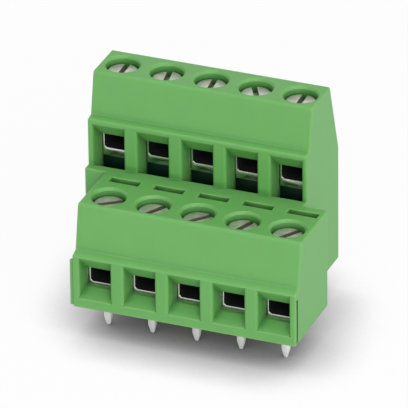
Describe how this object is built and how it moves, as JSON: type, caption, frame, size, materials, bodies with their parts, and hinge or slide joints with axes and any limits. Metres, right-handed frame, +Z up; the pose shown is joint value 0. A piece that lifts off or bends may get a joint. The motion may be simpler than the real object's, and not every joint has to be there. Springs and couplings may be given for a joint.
{
  "type": "pcb screw terminal",
  "caption": "Two-level screw terminal block for a circuit board, with rising clamp cages, slotted screws and solder pins.",
  "frame": {"origin": "middle of the block's outline, at the height of the solder pins' tips", "axes": "+X along the rows to the lower tier's grooved end, +Y from the wire side to the back, +Z up, away from the board"},
  "size_m": [0.0278, 0.02, 0.0254],
  "materials": {
    "green_moulding": "moulded, satin",
    "plated_screw": "zinc plated",
    "plated_cage": "nickel plated",
    "tinned_contact": "tin plated"
  },
  "bodies": {
    "block": {"housing": "green_moulding", "lower_contact_1": "tinned_contact", "lower_contact_2": "tinned_contact", "lower_contact_3": "tinned_contact", "lower_contact_4": "tinned_contact", "lower_contact_5": "tinned_contact", "upper_contact_1": "tinned_contact", "upper_contact_2": "tinned_contact", "upper_contact_3": "tinned_contact", "upper_contact_4": "tinned_contact", "upper_contact_5": "tinned_contact"},
    "lower_screw_1": {"lower_screw_1": "plated_screw"},
    "lower_cage_1": {"lower_cage_1": "plated_cage"},
    "lower_screw_2": {"lower_screw_2": "plated_screw"},
    "lower_cage_2": {"lower_cage_2": "plated_cage"},
    "lower_screw_3": {"lower_screw_3": "plated_screw"},
    "lower_cage_3": {"lower_cage_3": "plated_cage"},
    "lower_screw_4": {"lower_screw_4": "plated_screw"},
    "lower_cage_4": {"lower_cage_4": "plated_cage"},
    "lower_screw_5": {"lower_screw_5": "plated_screw"},
    "lower_cage_5": {"lower_cage_5": "plated_cage"},
    "upper_screw_1": {"upper_screw_1": "plated_screw"},
    "upper_cage_1": {"upper_cage_1": "plated_cage"},
    "upper_screw_2": {"upper_screw_2": "plated_screw"},
    "upper_cage_2": {"upper_cage_2": "plated_cage"},
    "upper_screw_3": {"upper_screw_3": "plated_screw"},
    "upper_cage_3": {"upper_cage_3": "plated_cage"},
    "upper_screw_4": {"upper_screw_4": "plated_screw"},
    "upper_cage_4": {"upper_cage_4": "plated_cage"},
    "upper_screw_5": {"upper_screw_5": "plated_screw"},
    "upper_cage_5": {"upper_cage_5": "plated_cage"}
  },
  "joints": [
    {"name": "lower_screw_1_turn", "type": "hinge", "parent": "block", "child": "lower_screw_1", "pos_m": [-0.00898, -0.0056, 0.01428], "axis": [0, 0, 1], "range_deg": [-1680, 0]},
    {"name": "lower_cage_1_rise", "type": "slide", "parent": "block", "child": "lower_cage_1", "axis": [0, 0, 1], "range_m": [0, 0.0021]},
    {"name": "lower_screw_2_turn", "type": "hinge", "parent": "block", "child": "lower_screw_2", "pos_m": [-0.0039, -0.0056, 0.01428], "axis": [0, 0, 1], "range_deg": [-1680, 0]},
    {"name": "lower_cage_2_rise", "type": "slide", "parent": "block", "child": "lower_cage_2", "axis": [0, 0, 1], "range_m": [0, 0.0021]},
    {"name": "lower_screw_3_turn", "type": "hinge", "parent": "block", "child": "lower_screw_3", "pos_m": [0.00119, -0.0056, 0.01428], "axis": [0, 0, 1], "range_deg": [-1680, 0]},
    {"name": "lower_cage_3_rise", "type": "slide", "parent": "block", "child": "lower_cage_3", "axis": [0, 0, 1], "range_m": [0, 0.0021]},
    {"name": "lower_screw_4_turn", "type": "hinge", "parent": "block", "child": "lower_screw_4", "pos_m": [0.00626, -0.0056, 0.01428], "axis": [0, 0, 1], "range_deg": [-1680, 0]},
    {"name": "lower_cage_4_rise", "type": "slide", "parent": "block", "child": "lower_cage_4", "axis": [0, 0, 1], "range_m": [0, 0.0021]},
    {"name": "lower_screw_5_turn", "type": "hinge", "parent": "block", "child": "lower_screw_5", "pos_m": [0.01134, -0.0056, 0.01428], "axis": [0, 0, 1], "range_deg": [-1680, 0]},
    {"name": "lower_cage_5_rise", "type": "slide", "parent": "block", "child": "lower_cage_5", "axis": [0, 0, 1], "range_m": [0, 0.0021]},
    {"name": "upper_screw_1_turn", "type": "hinge", "parent": "block", "child": "upper_screw_1", "pos_m": [-0.01151, 0.0049, 0.0246], "axis": [0, 0, 1], "range_deg": [-1680, 0]},
    {"name": "upper_cage_1_rise", "type": "slide", "parent": "block", "child": "upper_cage_1", "axis": [0, 0, 1], "range_m": [0, 0.0021]},
    {"name": "upper_screw_2_turn", "type": "hinge", "parent": "block", "child": "upper_screw_2", "pos_m": [-0.00643, 0.0049, 0.0246], "axis": [0, 0, 1], "range_deg": [-1680, 0]},
    {"name": "upper_cage_2_rise", "type": "slide", "parent": "block", "child": "upper_cage_2", "axis": [0, 0, 1], "range_m": [0, 0.0021]},
    {"name": "upper_screw_3_turn", "type": "hinge", "parent": "block", "child": "upper_screw_3", "pos_m": [-0.00136, 0.0049, 0.0246], "axis": [0, 0, 1], "range_deg": [-1680, 0]},
    {"name": "upper_cage_3_rise", "type": "slide", "parent": "block", "child": "upper_cage_3", "axis": [0, 0, 1], "range_m": [0, 0.0021]},
    {"name": "upper_screw_4_turn", "type": "hinge", "parent": "block", "child": "upper_screw_4", "pos_m": [0.00373, 0.0049, 0.0246], "axis": [0, 0, 1], "range_deg": [-1680, 0]},
    {"name": "upper_cage_4_rise", "type": "slide", "parent": "block", "child": "upper_cage_4", "axis": [0, 0, 1], "range_m": [0, 0.0021]},
    {"name": "upper_screw_5_turn", "type": "hinge", "parent": "block", "child": "upper_screw_5", "pos_m": [0.00881, 0.0049, 0.0246], "axis": [0, 0, 1], "range_deg": [-1680, 0]},
    {"name": "upper_cage_5_rise", "type": "slide", "parent": "block", "child": "upper_cage_5", "axis": [0, 0, 1], "range_m": [0, 0.0021]}
  ],
  "couplings": [
    {"joint": "lower_screw_1_turn", "follows": "lower_cage_1_rise", "rad_per_m": -13963},
    {"joint": "lower_screw_2_turn", "follows": "lower_cage_2_rise", "rad_per_m": -13963},
    {"joint": "lower_screw_3_turn", "follows": "lower_cage_3_rise", "rad_per_m": -13963},
    {"joint": "lower_screw_4_turn", "follows": "lower_cage_4_rise", "rad_per_m": -13963},
    {"joint": "lower_screw_5_turn", "follows": "lower_cage_5_rise", "rad_per_m": -13963},
    {"joint": "upper_screw_1_turn", "follows": "upper_cage_1_rise", "rad_per_m": -13963},
    {"joint": "upper_screw_2_turn", "follows": "upper_cage_2_rise", "rad_per_m": -13963},
    {"joint": "upper_screw_3_turn", "follows": "upper_cage_3_rise", "rad_per_m": -13963},
    {"joint": "upper_screw_4_turn", "follows": "upper_cage_4_rise", "rad_per_m": -13963},
    {"joint": "upper_screw_5_turn", "follows": "upper_cage_5_rise", "rad_per_m": -13963}
  ]
}
